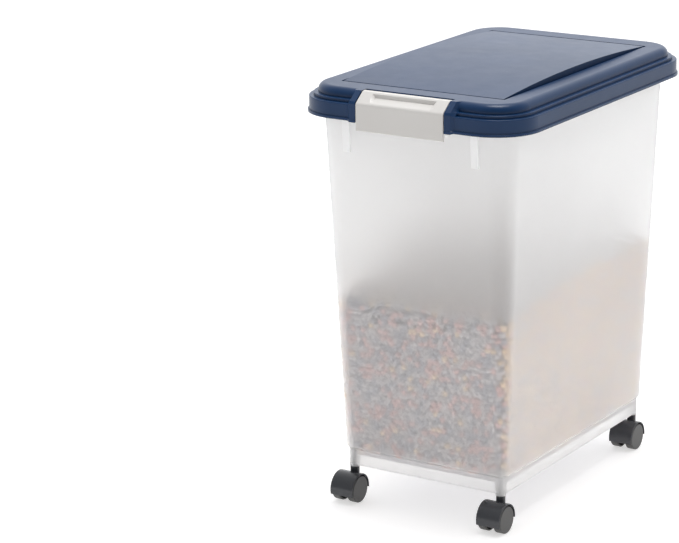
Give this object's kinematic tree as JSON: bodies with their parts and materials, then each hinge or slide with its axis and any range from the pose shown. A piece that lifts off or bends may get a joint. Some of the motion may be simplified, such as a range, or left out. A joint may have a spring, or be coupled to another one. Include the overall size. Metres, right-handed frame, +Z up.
{
  "type": "pet food bin",
  "caption": "Tall frosted rolling bin for dry pet food, tapered, with a hinged navy lid, an off-white front latch and swivel twin-wheel casters.",
  "frame": {"origin": "on the floor under the middle of the bin", "axes": "+Z up, the latch and the front face -Y, width along X, length along Y"},
  "size_m": [0.2728, 0.4168, 0.4775],
  "materials": {
    "frosted": "frosted translucent",
    "navy": "satin",
    "seal": "matt",
    "offwhite": "satin",
    "steel": "bright",
    "black": "satin",
    "wheel": "satin"
  },
  "bodies": {
    "bin": {"bin_shell": "frosted", "hinge_pin_left": "steel", "hinge_pin_right": "steel", "caster_fl_stem": "steel", "caster_fr_stem": "steel", "caster_bl_stem": "steel", "caster_br_stem": "steel"},
    "lid": {"lid_shell": "navy", "lid_gasket": "seal", "latch_pin_left": "steel", "latch_pin_right": "steel"},
    "latch": {"latch_body": "offwhite"},
    "caster_fl": {"caster_fl_hood": "black", "caster_fl_axle": "steel"},
    "wheel_fl_l": {"caster_fl_wheel_l": "wheel"},
    "wheel_fl_r": {"caster_fl_wheel_r": "wheel"},
    "caster_fr": {"caster_fr_hood": "black", "caster_fr_axle": "steel"},
    "wheel_fr_l": {"caster_fr_wheel_l": "wheel"},
    "wheel_fr_r": {"caster_fr_wheel_r": "wheel"},
    "caster_bl": {"caster_bl_hood": "black", "caster_bl_axle": "steel"},
    "wheel_bl_l": {"caster_bl_wheel_l": "wheel"},
    "wheel_bl_r": {"caster_bl_wheel_r": "wheel"},
    "caster_br": {"caster_br_hood": "black", "caster_br_axle": "steel"},
    "wheel_br_l": {"caster_br_wheel_l": "wheel"},
    "wheel_br_r": {"caster_br_wheel_r": "wheel"}
  },
  "joints": [
    {"name": "lid_hinge", "type": "hinge", "parent": "bin", "child": "lid", "pos_m": [0, 0.2053, 0.4415], "axis": [-1, 0, 0], "range_deg": [0, 110]},
    {"name": "latch_hinge", "type": "hinge", "parent": "lid", "child": "latch", "pos_m": [0, -0.1892, 0.4668], "axis": [-1, 0, 0], "range_deg": [0, 90]},
    {"name": "caster_fl_swivel", "type": "hinge", "parent": "bin", "child": "caster_fl", "pos_m": [-0.0922, -0.155, 0.0369], "axis": [0, 0, 1], "continuous": true},
    {"name": "wheel_fl_l_spin", "type": "hinge", "parent": "caster_fl", "child": "wheel_fl_l", "pos_m": [-0.0922, -0.1663, 0.0149], "axis": [1, 0, 0], "continuous": true},
    {"name": "wheel_fl_r_spin", "type": "hinge", "parent": "caster_fl", "child": "wheel_fl_r", "pos_m": [-0.0922, -0.1663, 0.0149], "axis": [1, 0, 0], "continuous": true},
    {"name": "caster_fr_swivel", "type": "hinge", "parent": "bin", "child": "caster_fr", "pos_m": [0.0922, -0.155, 0.0369], "axis": [0, 0, 1], "continuous": true},
    {"name": "wheel_fr_l_spin", "type": "hinge", "parent": "caster_fr", "child": "wheel_fr_l", "pos_m": [0.0922, -0.1663, 0.0149], "axis": [1, 0, 0], "continuous": true},
    {"name": "wheel_fr_r_spin", "type": "hinge", "parent": "caster_fr", "child": "wheel_fr_r", "pos_m": [0.0922, -0.1663, 0.0149], "axis": [1, 0, 0], "continuous": true},
    {"name": "caster_bl_swivel", "type": "hinge", "parent": "bin", "child": "caster_bl", "pos_m": [-0.0922, 0.155, 0.0369], "axis": [0, 0, 1], "continuous": true},
    {"name": "wheel_bl_l_spin", "type": "hinge", "parent": "caster_bl", "child": "wheel_bl_l", "pos_m": [-0.0922, 0.1437, 0.0149], "axis": [1, 0, 0], "continuous": true},
    {"name": "wheel_bl_r_spin", "type": "hinge", "parent": "caster_bl", "child": "wheel_bl_r", "pos_m": [-0.0922, 0.1437, 0.0149], "axis": [1, 0, 0], "continuous": true},
    {"name": "caster_br_swivel", "type": "hinge", "parent": "bin", "child": "caster_br", "pos_m": [0.0922, 0.155, 0.0369], "axis": [0, 0, 1], "continuous": true},
    {"name": "wheel_br_l_spin", "type": "hinge", "parent": "caster_br", "child": "wheel_br_l", "pos_m": [0.0922, 0.1437, 0.0149], "axis": [1, 0, 0], "continuous": true},
    {"name": "wheel_br_r_spin", "type": "hinge", "parent": "caster_br", "child": "wheel_br_r", "pos_m": [0.0922, 0.1437, 0.0149], "axis": [1, 0, 0], "continuous": true}
  ]
}
